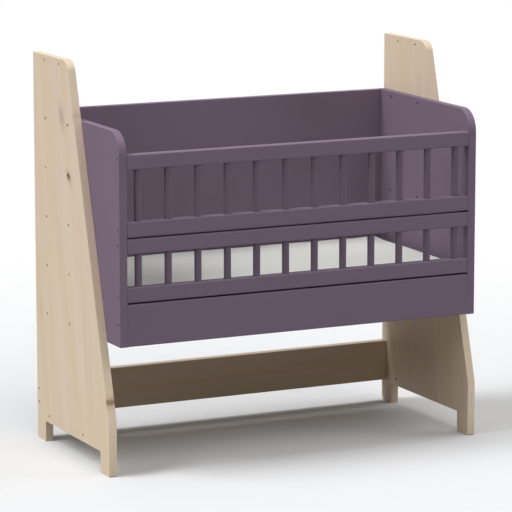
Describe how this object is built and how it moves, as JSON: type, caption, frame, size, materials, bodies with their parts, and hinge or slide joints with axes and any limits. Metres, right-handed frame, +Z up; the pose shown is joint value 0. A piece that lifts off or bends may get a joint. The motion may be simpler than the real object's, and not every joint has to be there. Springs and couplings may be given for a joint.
{
  "type": "bedside crib",
  "caption": "Bedside crib: lacquered box with fold-down barred gates and a loose mattress, bolted between sloping wooden stands joined by a low rear stretcher.",
  "frame": {"origin": "on the floor, at the middle of the crib's outline seen from above", "axes": "+X along the crib to the right end, +Y from the barred front to the solid back, +Z up"},
  "size_m": [0.9136, 0.442, 0.89],
  "materials": {
    "pale_wood": "pale knotty pine with upright grain and a clear matt oil",
    "aubergine_lacquer": "matt aubergine lacquer on board and dowel",
    "plywood": "bare birch plywood",
    "plated_steel": "dark plated steel",
    "mattress_cover": "pale grey-white woven cover over foam"
  },
  "bodies": {
    "crib_frame": {"stand_left": "pale_wood", "stand_right": "pale_wood", "rear_stretcher": "pale_wood", "end_panel_left": "aubergine_lacquer", "end_panel_right": "aubergine_lacquer", "back_panel": "aubergine_lacquer", "front_apron": "aubergine_lacquer", "base_board": "plywood", "box_bolt_left_top_back": "plated_steel", "box_bolt_left_top_front": "plated_steel", "box_bolt_left_low_back": "plated_steel", "box_bolt_left_low_front": "plated_steel", "box_bolt_right_top_back": "plated_steel", "box_bolt_right_top_front": "plated_steel", "box_bolt_right_low_back": "plated_steel", "box_bolt_right_low_front": "plated_steel", "stretcher_bolt_left_upper": "plated_steel", "stretcher_bolt_left_lower": "plated_steel", "stretcher_bolt_right_upper": "plated_steel", "stretcher_bolt_right_lower": "plated_steel", "lower_gate_pivot_pin_left": "plated_steel", "lower_gate_lock_pin_left": "plated_steel", "upper_gate_pivot_pin_left": "plated_steel", "upper_gate_lock_pin_left": "plated_steel", "apron_screw_left": "plated_steel", "lower_gate_pivot_pin_right": "plated_steel", "lower_gate_lock_pin_right": "plated_steel", "upper_gate_pivot_pin_right": "plated_steel", "upper_gate_lock_pin_right": "plated_steel", "apron_screw_right": "plated_steel"},
    "lower_gate": {"lower_gate_bottom_rail": "aubergine_lacquer", "lower_gate_top_rail": "aubergine_lacquer", "lower_gate_dowel_01": "aubergine_lacquer", "lower_gate_dowel_02": "aubergine_lacquer", "lower_gate_dowel_03": "aubergine_lacquer", "lower_gate_dowel_04": "aubergine_lacquer", "lower_gate_dowel_05": "aubergine_lacquer", "lower_gate_dowel_06": "aubergine_lacquer", "lower_gate_dowel_07": "aubergine_lacquer", "lower_gate_dowel_08": "aubergine_lacquer", "lower_gate_dowel_09": "aubergine_lacquer", "lower_gate_dowel_10": "aubergine_lacquer", "lower_gate_dowel_11": "aubergine_lacquer", "lower_gate_dowel_12": "aubergine_lacquer"},
    "upper_gate": {"upper_gate_bottom_rail": "aubergine_lacquer", "upper_gate_top_rail": "aubergine_lacquer", "upper_gate_dowel_01": "aubergine_lacquer", "upper_gate_dowel_02": "aubergine_lacquer", "upper_gate_dowel_03": "aubergine_lacquer", "upper_gate_dowel_04": "aubergine_lacquer", "upper_gate_dowel_05": "aubergine_lacquer", "upper_gate_dowel_06": "aubergine_lacquer", "upper_gate_dowel_07": "aubergine_lacquer", "upper_gate_dowel_08": "aubergine_lacquer", "upper_gate_dowel_09": "aubergine_lacquer", "upper_gate_dowel_10": "aubergine_lacquer", "upper_gate_dowel_11": "aubergine_lacquer", "upper_gate_dowel_12": "aubergine_lacquer"},
    "mattress": {"mattress": "mattress_cover"}
  },
  "joints": [
    {"name": "upper_gate_fold", "type": "hinge", "parent": "crib_frame", "child": "upper_gate", "pos_m": [0, -0.21, 0.5447], "axis": [1, 0, 0], "range_deg": [0, 100]},
    {"name": "lower_gate_fold", "type": "hinge", "parent": "crib_frame", "child": "lower_gate", "pos_m": [0, -0.21, 0.4004], "axis": [1, 0, 0], "range_deg": [0, 100]},
    {"name": "mattress_lift", "type": "slide", "parent": "crib_frame", "child": "mattress", "axis": [0, 0, 1], "range_m": [0, 0.42]}
  ]
}
